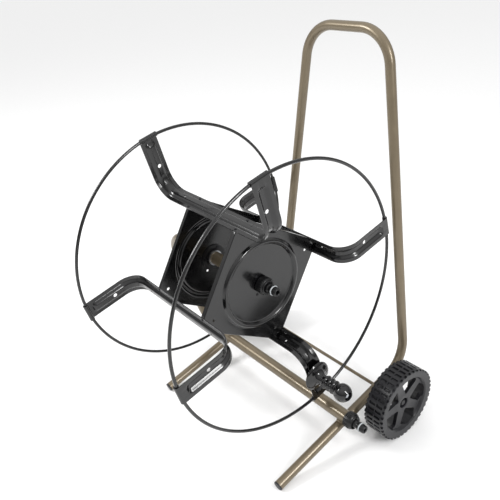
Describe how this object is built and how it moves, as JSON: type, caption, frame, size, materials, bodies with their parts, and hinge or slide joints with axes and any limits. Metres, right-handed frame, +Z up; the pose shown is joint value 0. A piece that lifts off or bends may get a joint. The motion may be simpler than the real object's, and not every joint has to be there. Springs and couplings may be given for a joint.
{
  "type": "garden hose reel cart",
  "caption": "Two-wheeled garden hose cart with a bent tube frame and push handle, an open reel of wire rings and pressed arms on a water tube, and a crank grip.",
  "frame": {"origin": "on the floor under the middle of the cart's bounding box", "axes": "+X along the axle and the reel axis toward the crank and the inlet fitting, +Y to the rear where the push handle stands, +Z up"},
  "size_m": [0.606, 0.6414, 0.87],
  "materials": {
    "bronze_paint": "satin",
    "reel_paint": "semi-gloss powder coat",
    "plug_plastic": "moulded",
    "wheel_plastic": "moulded",
    "cap_plastic": "moulded",
    "fitting_plastic": "moulded",
    "seal_rubber": "moulded",
    "oring_rubber": "moulded",
    "zinc_steel": "zinc plated",
    "rivet_steel": "blackened",
    "grip_plastic": "polished mould"
  },
  "bodies": {
    "frame": {"frame_tube": "bronze_paint", "foot_plug_left": "plug_plastic", "foot_plug_right": "plug_plastic", "support_tube": "bronze_paint", "wheel_axle": "bronze_paint", "axle_washers": "zinc_steel", "axle_cap_left": "cap_plastic", "axle_cap_right": "cap_plastic", "inlet_stub": "bronze_paint", "inlet_gasket": "seal_rubber", "inlet_nut": "fitting_plastic", "inlet_nipple": "fitting_plastic", "inlet_oring": "oring_rubber", "thrust_washer": "fitting_plastic", "circlip": "zinc_steel"},
    "reel": {"far_plate": "reel_paint", "near_plate": "reel_paint", "arm_rear": "reel_paint", "arm_top": "reel_paint", "arm_front": "reel_paint", "arm_bottom": "reel_paint", "far_ring": "reel_paint", "near_ring": "reel_paint", "plate_rivets": "rivet_steel", "far_bush": "fitting_plastic", "outlet_hub": "fitting_plastic", "hub_oring": "seal_rubber", "hub_rivets": "rivet_steel", "outlet_gasket": "seal_rubber", "outlet_nut": "fitting_plastic", "outlet_nipple": "fitting_plastic", "outlet_oring": "oring_rubber", "crank_pin": "zinc_steel", "crank_washer": "zinc_steel", "crank_nut": "zinc_steel"},
    "grip": {"crank_grip": "grip_plastic"},
    "left_wheel": {"wheel_left": "wheel_plastic"},
    "right_wheel": {"wheel_right": "wheel_plastic"}
  },
  "joints": [
    {"name": "reel_turn", "type": "hinge", "parent": "frame", "child": "reel", "pos_m": [-0.018, -0.03025, 0.403], "axis": [1, 0, 0], "continuous": true},
    {"name": "grip_spin", "type": "hinge", "parent": "reel", "child": "grip", "pos_m": [0.22, 0.01693, 0.19017], "axis": [1, 0, 0], "continuous": true},
    {"name": "left_wheel_spin", "type": "hinge", "parent": "frame", "child": "left_wheel", "pos_m": [-0.278, 0.17175, 0.0875], "axis": [1, 0, 0], "continuous": true},
    {"name": "right_wheel_spin", "type": "hinge", "parent": "frame", "child": "right_wheel", "pos_m": [0.278, 0.17175, 0.0875], "axis": [1, 0, 0], "continuous": true}
  ]
}
